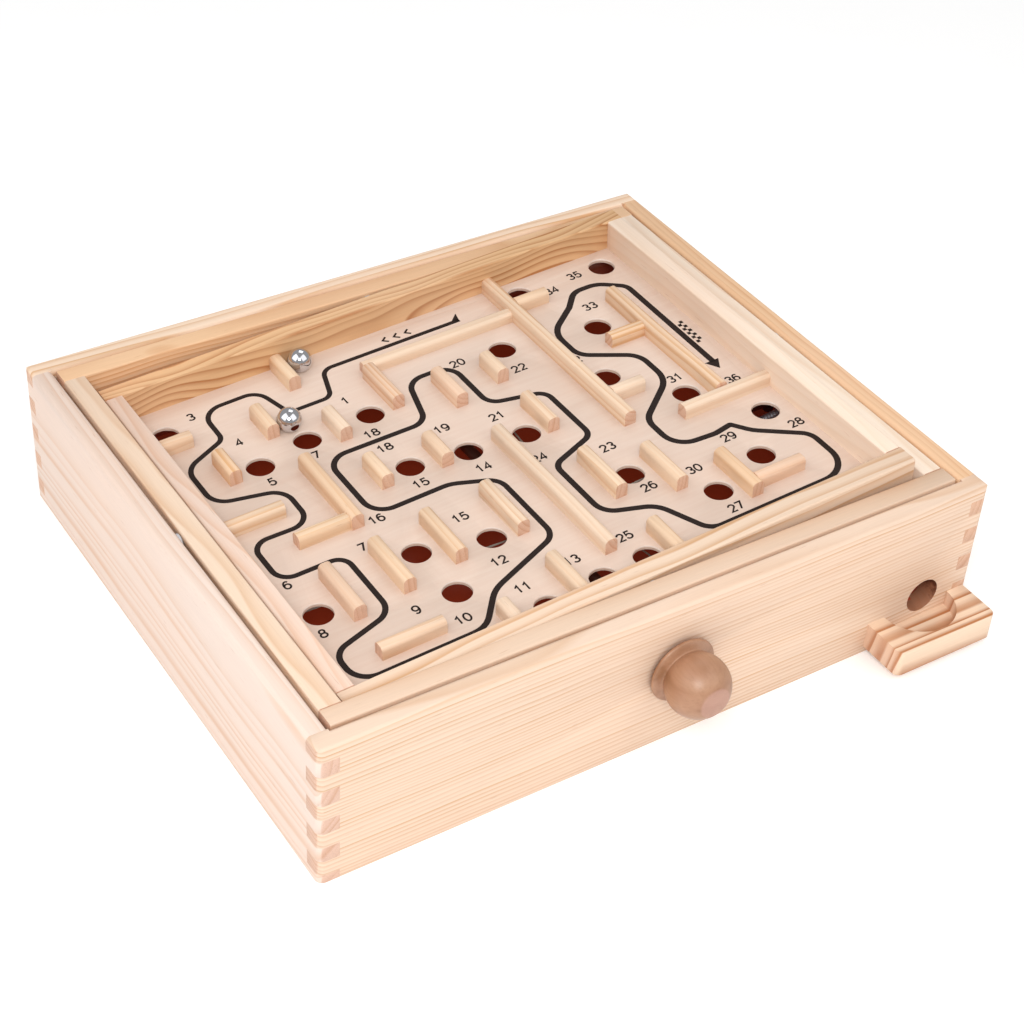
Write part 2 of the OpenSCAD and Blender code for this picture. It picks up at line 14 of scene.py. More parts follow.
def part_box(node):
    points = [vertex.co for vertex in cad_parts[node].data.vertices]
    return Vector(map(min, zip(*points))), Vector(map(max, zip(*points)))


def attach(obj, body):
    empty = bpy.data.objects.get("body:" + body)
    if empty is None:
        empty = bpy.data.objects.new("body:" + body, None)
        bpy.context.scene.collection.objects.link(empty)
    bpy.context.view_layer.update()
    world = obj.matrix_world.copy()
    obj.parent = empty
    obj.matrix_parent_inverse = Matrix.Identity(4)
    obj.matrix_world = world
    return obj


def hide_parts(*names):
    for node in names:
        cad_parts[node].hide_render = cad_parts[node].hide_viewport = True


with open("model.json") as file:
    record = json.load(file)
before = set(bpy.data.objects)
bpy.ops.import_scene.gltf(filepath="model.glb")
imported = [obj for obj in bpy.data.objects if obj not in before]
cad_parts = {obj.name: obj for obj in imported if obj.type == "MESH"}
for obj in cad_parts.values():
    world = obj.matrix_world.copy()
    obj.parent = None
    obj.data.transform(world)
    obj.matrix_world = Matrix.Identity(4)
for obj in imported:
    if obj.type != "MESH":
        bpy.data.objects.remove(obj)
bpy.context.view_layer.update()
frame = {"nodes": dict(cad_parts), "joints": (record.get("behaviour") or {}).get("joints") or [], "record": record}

MM = 0.001
nodes = frame["nodes"]
joints = {joint["name"]: joint for joint in frame["joints"]}


# ---------- the tray's own frame ----------

# The tray rests tilted about its pivot line, and the balls roll along its floor
PIVOT = Vector(joints["tray_tilt"]["pos_m"])
roll = joints["ball_1_roll"]["axis"]
TILT = math.atan2(roll[2], roll[0])
TILTED = (Matrix.Translation(PIVOT) @ Matrix.Rotation(-TILT, 4, "Y")
          @ Matrix.Translation(-PIVOT))
TRAY_NODES = set(frame["record"]["behaviour"]["bodies"]["tray"])


def level_box(node):
    """Lowest and highest corner of a node; a tray node is first turned back to level."""
    turn_back = TILTED.inverted() if node in TRAY_NODES else Matrix.Identity(4)
    points = [turn_back @ vertex.co for vertex in nodes[node].data.vertices]
    return Vector(map(min, zip(*points))), Vector(map(max, zip(*points)))


FLOOR_TOP = level_box("tray_floor")[1].z


def floor_point(x, y, height):
    """A point over the tray's floor, from millimetres right of and behind its middle."""
    return TILTED @ Vector((PIVOT.x + x * MM, PIVOT.y + y * MM, FLOOR_TOP + height * MM))


# ---------- materials ----------

def rgb(code):
    """Linear colour from a hexadecimal sRGB code."""
    shares = [int(code[i:i + 2], 16) / 255 for i in (0, 2, 4)]
    linear = [s / 12.92 if s <= 0.04045 else ((s + 0.055) / 1.055) ** 2.4 for s in shares]
    return (*linear, 1.0)


class Shader:
    """A principled material, built by functions whose arguments are numbers or node outputs."""

    def __init__(self, name):
        self.material = bpy.data.materials.new(name)
        self.material.use_nodes = True
        self.tree = self.material.node_tree
        self.surface = self.tree.nodes["Principled BSDF"]

    def feed(self, socket, value):
        if isinstance(value, bpy.types.NodeSocket):
            self.tree.links.new(value, socket)
        else:
            socket.default_value = value

    def node(self, kind, inputs=(), **settings):
        made = self.tree.nodes.new("ShaderNode" + kind)
        for key, value in settings.items():
            setattr(made, key, value)
        for socket, value in dict(inputs).items():
            self.feed(made.inputs[socket], value)
        return made

    def math(self, operation, a, b=0.0):
        return self.node("Math", {0: a, 1: b}, operation=operation).outputs[0]

    def add(self, a, b):
        return self.math("ADD", a, b)

    def times(self, a, b):
        return self.math("MULTIPLY", a, b)

    def vector(self, x, y, z):
        return self.node("CombineXYZ", {0: x, 1: y, 2: z}).outputs[0]

    def split(self, vector):
        return self.node("SeparateXYZ", {0: vector}).outputs[:3]

    def noise(self, place, scale=1.0, detail=2.0, roughness=0.5):
        inputs = {"Vector": place, "Scale": scale, "Detail": detail, "Roughness": roughness}
        return self.node("TexNoise", inputs)

    def steps(self, value, stops):
        """Colour or grey level that follows value through (place, colour) stops."""
        made = self.node("ValToRGB", {0: value})
        band = made.color_ramp
        while len(band.elements) < len(stops):
            band.elements.new(1.0)
        for element, (place, colour) in zip(band.elements, stops):
            element.position = place
            element.color = colour if isinstance(colour, tuple) else (colour,) * 3 + (1.0,)
        return made.outputs[0]

    def mix(self, share, a, b, blend="MIX"):
        made = self.node("Mix", data_type="RGBA", blend_type=blend, clamp_factor=True)
        for socket, value in ((0, share), (6, a), (7, b)):
            self.feed(made.inputs[socket], value)
        return made.outputs[2]

    def facing(self, axis):
        """How far a face points along an axis of its piece, from -1 to 1."""
        return self.split(self.node("TexCoord").outputs["Normal"])["XYZ".index(axis)]

    def finish(self, colour, roughness, height=None, depth=0.0, **extra):
        """Sets the surface; height is a grey level that raises the surface by depth mm."""
        self.feed(self.surface.inputs["Base Color"], colour)
        self.feed(self.surface.inputs["Roughness"], roughness)
        for name, value in extra.items():
            self.feed(self.surface.inputs[name.replace("_", " ")], value)
        if height is not None:
            bump = self.node("Bump", {"Height": height, "Distance": depth * MM, "Strength": 1.0})
            self.feed(self.surface.inputs["Normal"], bump.outputs[0])
        return self.material


def millimetres(shader, node):
    """Place on a node in millimetres from its middle, with a tray node turned back to level."""
    low, high = level_box(node)
    turn = Matrix.Rotation(TILT, 3, "Y") if node in TRAY_NODES else Matrix.Identity(3)
    offset = (PIVOT - turn @ PIVOT) - (low + high) / 2
    inputs = {
        "Vector": shader.node("TexCoord").outputs["Object"],
        "Location": offset / MM,
        "Rotation": (0.0, TILT if node in TRAY_NODES else 0.0, 0.0),
        "Scale": (1 / MM,) * 3,
    }
    return shader.node("Mapping", inputs).outputs[0]


def along_grain(shader, place, axis):
    """Splits a place into the way along the grain, which runs in X or Y, and the two across."""
    x, y, z = shader.split(place)
    return (x, y, z) if axis == "X" else (y, x, z)


# Pale early wood and darker late wood of each piece
PINE = (rgb("EBD2BA"), rgb("D0A174"))
PINE_PINK = (rgb("E9D2C3"), rgb("D7A884"))
PINE_TAN = (rgb("E6BE96"), rgb("C98F5E"))
PINE_CREAM = (rgb("F5E3D0"), rgb("E0BC98"))
PINE_WHITE = (rgb("E7D3C6"), rgb("D6AB8A"))
PINE_FRONT = (rgb("E7CDB7"), rgb("CD9D70"))
PINE_FRAME = (rgb("E3C8B0"), rgb("CB9A70"))
PINE_STRIP = (rgb("E9D1B8"), rgb("CF9D6C"))
PINE_STRIPED = (rgb("F1D6BB"), rgb("B3703C"))
PINE_FLAME = (rgb("DFB587"), rgb("B27440"))
END_TINT = rgb("D9B098")


def growth_rings(s, along, u, v, log, pith, ring, wave):
    """Darkness of the late wood round the pith, and a slow change of tone along the grain."""
    swing = s.times(s.math("SINE", s.times(log, 0.13)), 9.0)
    grain = s.vector(s.times(along, 0.009), s.times(u, 0.02), s.times(v, 0.02))
    bend_u, bend_v, tone = s.split(s.noise(grain, 1.0, 1.5).outputs["Color"])
    ru = s.add(s.add(s.add(u, -pith[0]), swing), s.times(s.add(bend_u, -0.5), 2 * wave))
    rv = s.add(s.add(v, -pith[1]), s.times(s.add(bend_v, -0.5), 2 * wave))
    radius = s.math("SQRT", s.add(s.times(ru, ru), s.times(rv, rv)))
    drift = s.noise(s.vector(s.times(radius, 0.07), log, 0.0), 1.0, 1.0).outputs[0]
    count = s.add(s.times(radius, 1 / ring), s.times(drift, 4.0))
    ring_place = s.math("FRACT", count)
    line = s.steps(ring_place, [(0.0, 0.0), (0.35, 0.08), (0.66, 0.5), (0.88, 1.0), (1.0, 0.0)])
    # some years are darker than others
    year = s.node("TexWhiteNoise", {"W": s.math("FLOOR", count)}, noise_dimensions="1D")
    return s.times(line, s.add(s.times(year.outputs["Value"], 0.6), 0.4)), tone


def end_grain(s, place, colour, line, late, axis, share):
    """Sawn ends soak up more light, and show the pores."""
    end = s.steps(s.math("ABSOLUTE", s.facing(axis)), [(0.80, 0.0), (0.93, 1.0)])
    pore = s.noise(place, 2.6, 2.0).outputs[0]
    end_colour = s.mix(s.times(line, 0.35 + 0.25 * late), END_TINT, rgb("B87C5C"))
    end_colour = s.mix(s.steps(pore, [(0.45, 0.0), (0.75, 0.45)]), end_colour, rgb("A8705A"))
    return s.mix(s.times(end, share), colour, end_colour)


def shaded_bore(s, place, colour, bore):
    """The wall of a bore along Y, darkened and browned with painted shade, most so at the top."""
    x, y, z = s.split(place)
    dx, dz = s.add(x, -bore[0]), s.add(z, -bore[1])
    reach = s.math("SQRT", s.add(s.times(dx, dx), s.times(dz, dz)))
    in_bore = s.steps(s.add(reach, -bore[2]), [(0.5, 1.0), (0.9, 0.0)])
    across = s.steps(s.math("ABSOLUTE", s.facing("Y")), [(0.3, 1.0), (0.7, 0.0)])
    shade_mottle = s.noise(place, 0.45, 3.0, 0.7).outputs[0]
    # painted shade in the bore, darker towards its top
    brown = s.steps(s.add(s.times(dz, 0.06), shade_mottle), [(0.30, rgb("A0684A")),
                                                       (0.62, rgb("5A2812"))])
    return s.mix(s.times(s.times(in_bore, across), 0.95), colour, brown)


def painted_inside_shade(s, place, colour, way):
    """Red-brown painted shade on the lower half of the face that points this way."""
    towards = s.times(s.facing(way[1]), 1.0 if way[0] == "+" else -1.0)
    height = s.split(place)[2]
    shade_mask = s.times(s.steps(towards, [(0.5, 0.0), (0.8, 1.0)]),
                    s.steps(s.times(height, 0.05), [(0.0, 1.0), (0.4, 0.0)]))
    # red-brown painted shade, strongest low down on the face inside the box
    return s.mix(s.times(shade_mask, 0.85), colour, rgb("BE4C2A"))


def wood(node, axis, pith, ring, late, wave=3.0, colours=PINE, blush=0.3, seed=0, bore=None,
         inside=None, tints=False, ends=0.75):
    """Sawn softwood. The growth rings circle the pith, a line along the grain axis that passes
    through (u, v) mm from the piece's middle; ring is their spacing and late their contrast.
    A bore is (x, z, radius) mm from the piece's middle, and its wall gets painted shade; inside
    is the way that the piece's face inside the box points, and that face gets red-brown painted
    shade low down; tints give every loose solid of the node its own tint and contrast;
    and ends is how much darker the end grain is."""
    s = Shader("wood_" + node)
    place = millimetres(s, node)
    along, u, v = along_grain(s, place, axis)
    # every strip of a group is cut from another place in the log
    island = s.node("NewGeometry").outputs["Random Per Island"]
    log = s.add(s.times(island, 700.0), seed * 37.0)
    along = s.add(along, log)
    line, tone = growth_rings(s, along, u, v, log, pith, ring, wave)
    mottle_place = s.vector(s.times(along, 0.02), s.times(u, 0.08), s.times(v, 0.08))
    mottle = s.noise(mottle_place, 1.0, 2.0).outputs[0]
    shade = s.times(line, s.times(s.add(mottle, 0.45), late))
    if tints:
        contrast = s.math("FRACT", s.times(s.add(island, seed), 3.1))
        shade = s.times(shade, s.add(s.times(s.times(contrast, contrast), 1.8), 0.5))
    colour = s.mix(shade, colours[0], colours[1])
    colour = s.mix(s.times(s.add(tone, -0.35), 2 * blush), colour, rgb("F1CDB4"))
    if tints:
        pick = s.math("FRACT", s.times(s.add(island, seed), 7.3))
        tint = s.steps(pick, [(0.0, rgb("E2B07C")), (0.4, rgb("EBD3BC")), (0.7, rgb("E8C49C")),
                              (1.0, rgb("E3B79B"))])
        colour = s.mix(0.45, colour, tint)
    fibre_place = s.vector(s.times(along, 0.06), s.times(u, 2.4), s.times(v, 2.4))
    fibre = s.noise(fibre_place, 1.0, 3.0, 0.6).outputs[0]
    lift = s.add(s.times(s.add(fibre, -0.5), 0.16), s.times(s.add(island, -0.5), 0.05))
    colour = s.mix(1.0, colour, s.vector(*(s.add(lift, 1.0),) * 3), "MULTIPLY")
    # short dark resin streaks
    streak_place = s.vector(s.times(along, 0.11), s.times(u, 1.5), s.times(v, 1.5))
    streak = s.noise(streak_place, 1.0, 1.0).outputs[0]
    colour = s.mix(s.steps(streak, [(0.73, 0.0), (0.80, 0.35)]), colour, rgb("B98A6C"))
    colour = end_grain(s, place, colour, line, late, axis, ends)
    # painted shade on the wall of the bore
    if bore:
        colour = shaded_bore(s, place, colour, bore)
    # painted shade, red-brown, low on the face inside the box
    if inside:
        colour = painted_inside_shade(s, place, colour, inside)
    height = s.add(s.times(fibre, 0.6), s.times(line, 0.5))
    roughness = s.add(s.times(fibre, 0.14), 0.45)
    return s.finish(colour, roughness, height, 0.05, Specular_IOR_Level=0.35)


def plywood(node):
    """Smooth pale face veneer over darker cross plies that show in the holes and edges."""
    s = Shader("plywood")
    place = millimetres(s, node)
    x, y, z = s.split(place)
    grain = s.vector(s.times(x, 0.03), s.times(y, 0.5), z)
    band = s.noise(grain, 1.0, 3.0, 0.55).outputs[0]
    cloud = s.noise(s.vector(s.times(x, 0.012), s.times(y, 0.02), 3.0), 1.0, 2.0).outputs[0]
    colour = s.steps(band, [(0.25, rgb("DFCBBC")), (0.75, rgb("D8BFAE"))])
    colour = s.mix(s.times(cloud, 0.5), colour, rgb("DBC2B2"))
    pore = s.noise(s.vector(s.times(x, 0.5), s.times(y, 5.0), 0.0), 1.0, 1.0).outputs[0]
    colour = s.mix(s.steps(pore, [(0.70, 0.0), (0.82, 0.25)]), colour, rgb("C79F86"))
    facing = s.math("ABSOLUTE", s.facing("Z"))
    wobble = s.noise(s.vector(x, y, 0.0), 0.8, 1.0).outputs[0]
    low, high = level_box(node)
    layer = s.add(s.times(z, MM / (high.z - low.z)), s.add(s.times(wobble, 0.08), 0.46))
    ply = s.steps(layer, [(0.30, rgb("EBD3C2")), (0.38, rgb("D0AE96")), (0.60, rgb("DCC0AC")),
                          (0.68, rgb("F6E8DD"))])
    fuzz = s.noise(place, 3.5, 3.0).outputs[0]
    ply = s.mix(s.times(fuzz, 0.5), ply, rgb("F5E6D8"))
    colour = s.mix(s.steps(facing, [(0.5, 1.0), (0.8, 0.0)]), colour, ply)
    height = s.add(s.times(band, 0.5), s.times(fuzz, 0.3))
    return s.finish(colour, 0.5, height, 0.03, Specular_IOR_Level=0.4)


def hardboard(node):
    """Dark pressed board: smooth on top, and with the press's wire screen in its underside."""
    s = Shader("hardboard")
    place = millimetres(s, node)
    x, y, z = s.split(place)
    fibre = s.noise(place, 0.9, 4.0, 0.7).outputs[0]
    cloud = s.noise(place, 0.03, 2.0).outputs[0]
    colour = s.steps(fibre, [(0.3, rgb("A2391E")), (0.7, rgb("B4452A"))])
    colour = s.mix(cloud, colour, rgb("A83E22"))
    upward = s.facing("Z")
    under = s.steps(s.times(upward, -1.0), [(0.3, 0.0), (0.6, 1.0)])
    screen = s.times(s.math("SINE", s.times(x, 3.6)), s.math("SINE", s.times(y, 3.6)))
    colour = s.mix(under, colour, s.mix(s.add(s.times(screen, 0.3), 0.5), rgb("8A5A3E"),
                                        rgb("6B3F2A")))
    height = s.add(s.times(s.times(screen, under), 0.5), s.times(fibre, 0.2))
    roughness = s.add(s.times(under, 0.4), 0.36)
    # light that has scattered about inside the box
    glow = s.steps(upward, [(0.5, 0.0), (0.9, 0.12)])
    return s.finish(colour, roughness, height, 0.2, Emission_Color=colour, Emission_Strength=glow)


def beech(node, axis, nose):
    """Turned beech: pinkish tan, with short darker flecks; nose is the way the flat end points."""
    s = Shader("beech_" + node)
    place = millimetres(s, node)
    along, u, v = along_grain(s, place, axis)
    drift = s.noise(s.vector(s.times(along, 0.03), s.times(u, 0.10), s.times(v, 0.16)), 1.0, 2.0)
    colour = s.steps(drift.outputs[0], [(0.30, rgb("B28769")), (0.50, rgb("A97C5F")),
                                        (0.62, rgb("966949")), (0.75, rgb("AB8062"))])
    thread_place = s.vector(s.times(along, 0.05), s.times(u, 1.1), s.times(v, 1.4))
    thread = s.noise(thread_place, 1.0, 2.0).outputs[0]
    colour = s.mix(s.steps(thread, [(0.45, 0.0), (0.75, 0.5)]), colour, rgb("9F7355"))
    fleck_place = s.vector(s.times(along, 0.7), s.times(u, 4.5), s.times(v, 4.5))
    fleck = s.steps(s.noise(fleck_place, 1.0, 1.0).outputs[0], [(0.64, 0.0), (0.74, 0.3)])
    colour = s.mix(fleck, colour, rgb("94674C"))
    end = s.steps(s.times(s.facing(axis), nose), [(0.88, 0.0), (0.97, 1.0)])
    end = s.times(end, s.math("GREATER_THAN", s.times(along, nose), 5.0))
    pore = s.noise(place, 3.2, 2.0).outputs[0]
    end_colour = s.mix(s.steps(pore, [(0.5, 0.0), (0.7, 0.4)]), rgb("BE9080"), rgb("A0705E"))
    colour = s.mix(s.times(end, 0.6), colour, end_colour)
    height = s.add(s.times(fleck, -0.6), s.times(pore, 0.3))
    return s.finish(colour, 0.42, height, 0.03, Coat_Weight=0.15, Coat_Roughness=0.3)


def polished_steel():
    """Bearing steel with faint smudges and hairline scratches."""
    s = Shader("polished_steel")
    place = s.node("TexCoord").outputs["Object"]
    smudge = s.noise(place, 260.0, 2.0).outputs[0]
    scratch = s.noise(s.node("Mapping", {"Vector": place, "Scale": (900.0, 9000.0, 900.0)})
                      .outputs[0], 1.0, 2.0).outputs[0]
    colour = s.mix(smudge, rgb("D8D8DC"), rgb("C9C9CE"))
    roughness = s.add(s.times(smudge, 0.08), 0.03)
    return s.finish(colour, roughness, scratch, 0.002, Metallic=1.0)


def drawn_steel(name, light, dark, spread=0.3):
    """Bright drawn wire and rod, with fine marks round and along it."""
    s = Shader(name)
    place = s.node("TexCoord").outputs["Object"]
    mark = s.noise(s.node("Mapping", {"Vector": place, "Scale": (4000.0, 700.0, 4000.0)})
                   .outputs[0], 1.0, 3.0).outputs[0]
    stain = s.noise(place, 90.0, 2.0).outputs[0]
    colour = s.mix(s.times(stain, 0.8), rgb(light), rgb(dark))
    return s.finish(colour, s.add(s.times(mark, 0.2), spread), mark, 0.01, Metallic=0.9)


def moulded_plastic():
    s = Shader("moulded_plastic")
    place = s.node("TexCoord").outputs["Object"]
    speck = s.noise(place, 2500.0, 2.0).outputs[0]
    cloud = s.noise(place, 300.0, 1.0).outputs[0]
    colour = s.mix(cloud, rgb("C8C9CC"), rgb("B6B7BC"))
    return s.finish(colour, s.add(s.times(speck, 0.2), 0.35), speck, 0.02)


def braided_cord(node):
    """Off-white cord with crossing strands."""
    s = Shader("braid_" + node)
    place = millimetres(s, node)
    x, y, z = s.split(place)
    left = s.math("SINE", s.times(s.add(s.add(x, y), z), 9.0))
    right = s.math("SINE", s.times(s.add(s.add(x, y), s.times(z, -1.0)), 9.0))
    strand = s.add(s.times(s.times(left, right), 0.5), 0.5)
    dust = s.noise(place, 0.6, 2.0).outputs[0]
    # the hollows between the strands are painted darker: painted shade
    colour = s.mix(strand, rgb("CFC6B2"), rgb("EFE9DA"))
    colour = s.mix(s.times(dust, 0.4), colour, rgb("D8CCB4"))
    return s.finish(colour, 0.85, strand, 0.12, Sheen_Weight=0.3)


def ink():
    """Screen-printed black that lets a little of the grain through."""
    s = Shader("ink")
    place = s.node("TexCoord").outputs["Object"]
    film = s.noise(place, 700.0, 3.0).outputs[0]
    colour = s.mix(s.steps(film, [(0.55, 0.0), (0.8, 0.5)]), rgb("261C19"), rgb("3C2E29"))
    return s.finish(colour, s.add(s.times(film, 0.2), 0.6), film, 0.01, Specular_IOR_Level=0.2)


# ---------- CAD nodes: material and softened edges ----------

def dress(node, material, edge=0.3):
    """Gives a CAD node its material, and eases its sharp edges by edge mm."""
    piece = nodes[node]
    piece.data.materials.clear()
    piece.data.materials.append(material)
    for polygon in piece.data.polygons:
        polygon.use_smooth = True
        polygon.material_index = 0
    weld = piece.modifiers.new("weld", "WELD")
    weld.merge_threshold = 0.002 * MM
    bevel = piece.modifiers.new("edges", "BEVEL")
    bevel.width = edge * MM
    bevel.segments = 2
    bevel.limit_method = "ANGLE"
    bevel.angle_limit = math.radians(32)
    bevel.harden_normals = True


# The exit's bore in the front wall, from the opening that the record keeps clear for the balls
opening = next(hole for hole in frame["record"]["physics"]["openings"]
               if hole["name"] == "exit_hole")
exit_middle = (Vector(opening["box_m"][0]) + Vector(opening["box_m"][1])) / 2
wall_middle = sum(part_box("front_wall"), Vector()) / 2
EXIT_RADIUS = 7.8
exit_place = (exit_middle - wall_middle) / MM
exit_bore = (exit_place.x, exit_place.z, EXIT_RADIUS)

dress("front_wall", wood("front_wall", "X", pith=(6.0, -85.0), ring=1.9, late=1.05, seed=10,
                         colours=PINE_FRONT, bore=exit_bore, inside="+Y"))
dress("back_wall", wood("back_wall", "X", pith=(-16.0, 50.0), ring=3.0, late=1.2, seed=9,
                        inside="-Y"))
dress("left_wall", wood("left_wall", "Y", pith=(-34.0, 30.0), ring=4.0, late=0.8, wave=3.5,
                        blush=0.35, colours=PINE_WHITE, seed=9, inside="+X"))
dress("right_wall", wood("right_wall", "Y", pith=(-34.0, 30.0), ring=3.6, late=0.7, wave=6.0,
                         blush=0.3, colours=PINE_TAN, seed=10, inside="-X"))
dress("ball_ramp", hardboard("ball_ramp"), 0.2)
dress("ball_catcher", wood("ball_catcher", "X", pith=(160.0, 30.0), ring=4.8, late=2.0, wave=1.0,
                           colours=PINE_STRIPED, seed=4, ends=0.4))
for node, colours, seed in (
        ("outer_frame_front", PINE_FRAME, 1),
        ("outer_frame_back", PINE_TAN, 2)):
    dress(node, wood(node, "X", pith=(-9.0, -26.0), ring=3.4, late=1.1, wave=7.0,
                     colours=colours, seed=seed))
for node, colours, seed in (
        ("outer_frame_left", PINE, 5),
        ("outer_frame_right", PINE_CREAM, 6)):
    dress(node, wood(node, "Y", pith=(20.0, -22.0), ring=4.0, late=0.7, wave=6.0, blush=0.3,
                     colours=colours, seed=seed))
dress("tray_front_rail", wood("tray_front_rail", "X", pith=(12.0, -20.0), ring=2.8, late=1.2,
                              wave=6.0, seed=11))
dress("tray_back_rail", wood("tray_back_rail", "X", pith=(16.0, -8.0), ring=2.1, late=1.3,
                             wave=15.0, colours=PINE_FLAME, seed=14))
for node, colours, late in (
        ("tray_left_rail", PINE_PINK, 0.8),
        ("tray_right_rail", PINE_CREAM, 0.35)):
    dress(node, wood(node, "Y", pith=(18.0, -20.0), ring=4.5, late=late, wave=7.0, blush=0.5,
                     colours=colours, seed=17))
dress("tray_floor", plywood("tray_floor"), 0.15)

DIVIDERS = ("short_dividers", "middle_dividers", "medium_dividers", "long_divider_left",
            "long_divider_centre", "long_divider_back", "finish_lane_divider")
CROSS_STRIPS = ("short_cross_strips", "medium_cross_strips", "left_rail_strip",
                "start_lane_strip", "finish_lane_stop")
for axis, group in (("Y", DIVIDERS), ("X", CROSS_STRIPS)):
    for number, node in enumerate(group):
        dress(node, wood(node, axis, pith=(11.0, 7.0), ring=2.3, late=1.1, wave=3.0,
                         colours=PINE_STRIP, tints=True, seed=number * 3 + 2), 0.25)

steel_wire = drawn_steel("steel_wire", "C4C4C8", "9C9CA2")
aged_steel = drawn_steel("aged_steel", "A07E6C", "6E4E40", 0.35)
dark_steel = drawn_steel("dark_steel", "5C5C62", "3A3A40", 0.4)
white_plastic = moulded_plastic()
for node in ("box_pivot_pins", "frame_pivot_pins", "outer_frame_cord_eyes", "tray_cord_eyes",
             "tray_cord_spring", "outer_frame_cord_spring"):
    dress(node, steel_wire, 0.1)
for node in ("front_rod", "side_rod"):
    dress(node, aged_steel, 0.1)
for node in ("front_rod_clip", "side_rod_clip"):
    dress(node, dark_steel, 0.1)
for node in ("box_pivot_washers", "frame_pivot_washers"):
    dress(node, white_plastic, 0.15)
for node in ("tray_cord", "outer_frame_cord", "tray_cord_coil", "outer_frame_cord_coil"):
    dress(node, braided_cord(node), 0.05)


# ---------- new pieces ----------

def add_piece(name, points, faces, material, body, smooth=False):
    """A mesh that rides on a body."""
    mesh = bpy.data.meshes.new(name)
    mesh.from_pydata(points, [], faces)
    work = bmesh.new()
    work.from_mesh(mesh)
    bmesh.ops.remove_doubles(work, verts=work.verts, dist=0.0005 * MM)
    bmesh.ops.recalc_face_normals(work, faces=work.faces)
    work.to_mesh(mesh)
    work.free()
    for polygon in mesh.polygons:
        polygon.use_smooth = smooth
    piece = bpy.data.objects.new(name, mesh)
    bpy.context.scene.collection.objects.link(piece)
    mesh.materials.append(material)
    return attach(piece, body)


# Print on the floor: the ink film stands this far out of the wood and reaches as far into it
FILM = 0.05


class Print:
    """Collects flat printed shapes on the tray's floor into one thin mesh."""

    def __init__(self):
        self.points = []
        self.faces = []

    def slab(self, left, right):
        """A strip of film between two lines of equally many points."""
        start = len(self.points)
        count = len(left)
        for height in (FILM, -FILM):
            for line in (left, right):
                self.points += [floor_point(p[0], p[1], height) for p in line]
        top_l, top_r, low_l, low_r = (start + count * k for k in range(4))
        for i, j in zip(range(count - 1), range(1, count)):
            self.faces += [
                (top_l + i, top_r + i, top_r + j, top_l + j),
                (low_l + j, low_r + j, low_r + i, low_l + i),
                (top_l + j, low_l + j, low_l + i, top_l + i),
                (top_r + i, low_r + i, low_r + j, top_r + j),
            ]
        for i in (0, count - 1):
            self.faces.append((top_l + i, low_l + i, low_r + i, top_r + i))

    def stroke(self, line, width):
        """A line of the pen; width is a number, or a function of the share of the way along."""
        last = len(line) - 1
        left, right = [], []
        for i, point in enumerate(line):
            before = line[max(i - 1, 0)]
            after = line[min(i + 1, last)]
            way_in = (point - before).normalized()
            way_out = (after - point).normalized()
            heading = (way_in + way_out).normalized()
            side = Vector((-heading.y, heading.x))
            mitre = max(0.5, math.sqrt((1 + way_in.dot(way_out)) / 2)) if 0 < i < last else 1.0
            half = (width(i / last) if callable(width) else width) / 2
            left.append(point + side * half / mitre)
            right.append(point - side * half / mitre)
        self.slab(left, right)

    def make(self, name):
        """The mesh of all shapes so far, which rides on the tray."""
        add_piece(name, self.points, self.faces, black_ink, "tray")


def arc(centre, radii, start, end, step=15):
    """Points of an elliptical arc between two angles in degrees."""
    count = max(2, math.ceil(abs(end - start) / step))
    angles = [math.radians(start + (end - start) * i / count) for i in range(count + 1)]
    return [Vector((centre[0] + radii[0] * math.cos(a), centre[1] + radii[1] * math.sin(a)))
            for a in angles]


def rounded_line(corners):
    """Line through corners (x, y, radius), each rounded by an arc of that radius or less."""
    line = [Vector(corners[0][:2])]
    for before, corner, after in zip(corners, corners[1:], corners[2:]):
        here = Vector(corner[:2])
        back, on = Vector(before[:2]) - here, Vector(after[:2]) - here
        turn = back.angle(on)
        reach = min(corner[2] / math.tan(turn / 2), back.length * 0.5, on.length * 0.5)
        radius = reach * math.tan(turn / 2)
        middle = (back.normalized() + on.normalized()).normalized()
        centre = here + middle * (radius / math.sin(turn / 2))
        first, last = here + back.normalized() * reach, here + on.normalized() * reach
        sweep = (last - centre).angle_signed(first - centre)
        start = math.atan2(first.y - centre.y, first.x - centre.x)
        count = max(2, math.ceil(abs(sweep) / math.radians(9)))
        for i in range(count + 1):
            angle = start + sweep * i / count
            line.append(centre + radius * Vector((math.cos(angle), math.sin(angle))))
    line.append(Vector(corners[-1][:2]))
    return line


